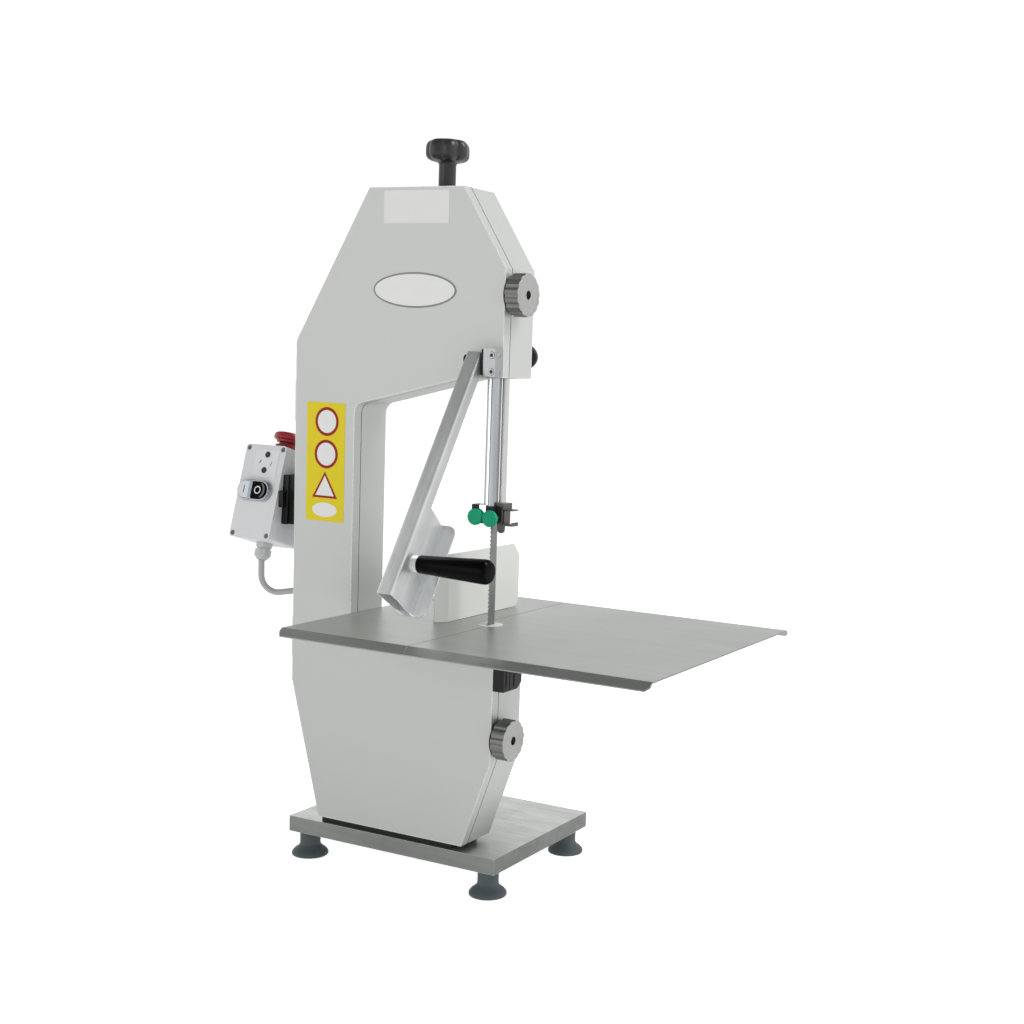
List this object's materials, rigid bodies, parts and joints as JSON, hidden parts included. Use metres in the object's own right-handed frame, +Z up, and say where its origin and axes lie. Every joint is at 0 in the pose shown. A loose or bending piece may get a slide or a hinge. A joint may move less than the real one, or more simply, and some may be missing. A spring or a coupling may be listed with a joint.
{
  "type": "bone saw",
  "caption": "Bench band saw for meat and bone: C-shaped cabinet with hinged front door, steel table, swinging pusher arm, adjustable blade guide, portion gauge and switch box.",
  "frame": {"origin": "centre of the whole machine's bounding box, on the floor", "axes": "+X to the operator's right, along the table; +Y away from the operator, front to back; +Z up"},
  "size_m": [0.67, 0.448, 0.916],
  "materials": {
    "painted_cabinet": "satin light grey",
    "brushed_steel": "brushed lengthwise",
    "table_steel": "fine brushed with cloudy marks",
    "machined_steel": "turned and milled",
    "polished_steel": "polished",
    "blade_steel": "ground",
    "cast_wheel": "machined rim, cast web",
    "knob_aluminium": "brushed, dark flutes",
    "black_plastic": "fine texture",
    "glossy_black": "gloss",
    "black_steel": "black oxide",
    "grey_plastic": "light grey, fine texture",
    "white_plastic": "white",
    "red_plastic": "dark red",
    "grey_insert": "grey",
    "green_plastic": "green",
    "foot_rubber": "dark slate rubber",
    "cable_grey": "grey sheath",
    "motor_paint": "grey enamel",
    "winding": "laminations and windings",
    "brass_guides": "bronze",
    "label_film": "printed film, blank"
  },
  "bodies": {
    "cabinet": {"frame_shell": "painted_cabinet", "hinge_frame_leaves": "machined_steel", "clamp_studs": "machined_steel", "tension_guides": "machined_steel", "blade_band": "blade_steel", "motor_housing": "motor_paint", "motor_fan_cover": "black_plastic", "motor_stator": "winding", "motor_bearings": "machined_steel", "motor_terminal_box": "black_plastic", "base_tray": "brushed_steel", "base_gasket": "foot_rubber", "rubber_feet": "foot_rubber", "base_fasteners": "machined_steel", "left_table_plate": "table_steel", "right_table_plate": "table_steel", "blade_insert": "white_plastic", "table_rails": "brushed_steel", "post_bushing": "machined_steel", "switch_box": "grey_plastic", "switch_cover": "grey_plastic", "cover_screws": "machined_steel", "button_bezel": "knob_aluminium", "legend_plate": "white_plastic", "estop_collar": "red_plastic", "cable_gland": "machined_steel", "power_cable": "cable_grey", "switch_bracket": "black_plastic", "interlock_switch": "black_plastic"},
    "door": {"door_shell": "painted_cabinet", "hinge_door_leaves": "machined_steel", "door_labels": "label_film", "pusher_block": "brushed_steel", "pusher_pin": "black_steel", "interlock_key": "black_plastic"},
    "pusher": {"pusher_arm": "brushed_steel", "pusher_handle": "glossy_black"},
    "upper_clamp": {"upper_clamp_knob": "knob_aluminium"},
    "lower_clamp": {"lower_clamp_knob": "knob_aluminium"},
    "carriage": {"tension_carriage": "machined_steel"},
    "band_wheel_upper": {"upper_wheel": "cast_wheel", "upper_wheel_bearings": "machined_steel"},
    "tensioner": {"tension_screw": "machined_steel", "tension_knob": "black_plastic"},
    "band_wheel_lower": {"lower_wheel": "cast_wheel", "motor_rotor": "machined_steel"},
    "post_clamp": {"post_clamp_knob": "black_plastic"},
    "guide": {"guide_post": "polished_steel", "blade_guard": "polished_steel", "guide_block": "black_plastic", "rod_holder": "machined_steel", "blade_guides": "brass_guides"},
    "guide_screw_left": {"guide_knob_left": "green_plastic"},
    "guide_screw_right": {"guide_knob_right": "green_plastic"},
    "gauge": {"gauge_plate": "table_steel"},
    "gauge_clamp": {"gauge_knob": "black_plastic"},
    "start": {"start_button": "white_plastic"},
    "stop": {"stop_button": "black_plastic"},
    "estop": {"estop_plunger": "grey_insert"},
    "estop_mushroom": {"estop_head": "red_plastic"}
  },
  "joints": [
    {"name": "door_hinge", "type": "hinge", "parent": "cabinet", "child": "door", "pos_m": [-0.245, -0.02958, 0.44], "axis": [0, 0, -1], "range_deg": [0, 90]},
    {"name": "pusher_swing", "type": "hinge", "parent": "door", "child": "pusher", "pos_m": [0.045, -0.05503, 0.6508], "axis": [1, 0, 0], "range_deg": [-20, 24]},
    {"name": "upper_clamp_turn", "type": "hinge", "parent": "cabinet", "child": "upper_clamp", "pos_m": [0.07, -0.02958, 0.727], "axis": [1, 0, 0], "range_deg": [-1080, 0]},
    {"name": "lower_clamp_turn", "type": "hinge", "parent": "cabinet", "child": "lower_clamp", "pos_m": [0.07, -0.02958, 0.199], "axis": [1, 0, 0], "range_deg": [-1080, 0]},
    {"name": "tension_slide", "type": "slide", "parent": "cabinet", "child": "carriage", "axis": [0, 0, 1], "range_m": [-0.012, 0]},
    {"name": "upper_wheel_spin", "type": "hinge", "parent": "carriage", "child": "band_wheel_upper", "pos_m": [-0.072, 0.00417, 0.733], "axis": [0, 1, 0], "continuous": true},
    {"name": "lower_wheel_spin", "type": "hinge", "parent": "cabinet", "child": "band_wheel_lower", "pos_m": [-0.072, 0.00417, 0.172], "axis": [0, 1, 0], "continuous": true},
    {"name": "tension_turn", "type": "hinge", "parent": "cabinet", "child": "tensioner", "pos_m": [-0.072, 0.03017, 0.85], "axis": [0, 0, 1], "range_deg": [0, 2880]},
    {"name": "post_clamp_turn", "type": "hinge", "parent": "cabinet", "child": "post_clamp", "pos_m": [0.038, 0.04617, 0.657], "axis": [0, 1, 0], "range_deg": [0, 720]},
    {"name": "guide_height", "type": "slide", "parent": "cabinet", "child": "guide", "axis": [0, 0, 1], "range_m": [-0.02, 0.075]},
    {"name": "left_guide_screw_turn", "type": "hinge", "parent": "guide", "child": "guide_screw_left", "pos_m": [0.0166, -0.02383, 0.4636], "axis": [0, 1, 0], "range_deg": [0, 360]},
    {"name": "right_guide_screw_turn", "type": "hinge", "parent": "guide", "child": "guide_screw_right", "pos_m": [0.0373, -0.02383, 0.4628], "axis": [0, 1, 0], "range_deg": [0, 360]},
    {"name": "gauge_slide", "type": "slide", "parent": "cabinet", "child": "gauge", "axis": [1, 0, 0], "range_m": [-0.07, 0.025]},
    {"name": "gauge_clamp_turn", "type": "hinge", "parent": "gauge", "child": "gauge_clamp", "pos_m": [-0.056, 0.11217, 0.35], "axis": [0, 0, 1], "range_deg": [0, 720]},
    {"name": "start_press", "type": "slide", "parent": "cabinet", "child": "start", "axis": [0, 0.9613, -0.2756], "range_m": [0, 0.003]},
    {"name": "stop_press", "type": "slide", "parent": "cabinet", "child": "stop", "axis": [0, 0.9613, -0.2756], "range_m": [0, 0.003]},
    {"name": "estop_press", "type": "slide", "parent": "cabinet", "child": "estop", "axis": [0, -0.2756, -0.9613], "range_m": [0, 0.0035]},
    {"name": "estop_release_twist", "type": "hinge", "parent": "estop", "child": "estop_mushroom", "pos_m": [-0.301, 0.01565, 0.53188], "axis": [0, 0.2756, 0.9613], "range_deg": [-45, 0]}
  ],
  "couplings": [
    {"joint": "upper_wheel_spin", "follows": "lower_wheel_spin", "ratio": 1},
    {"joint": "tension_turn", "follows": "tension_slide", "rad_per_m": -4188.8}
  ]
}
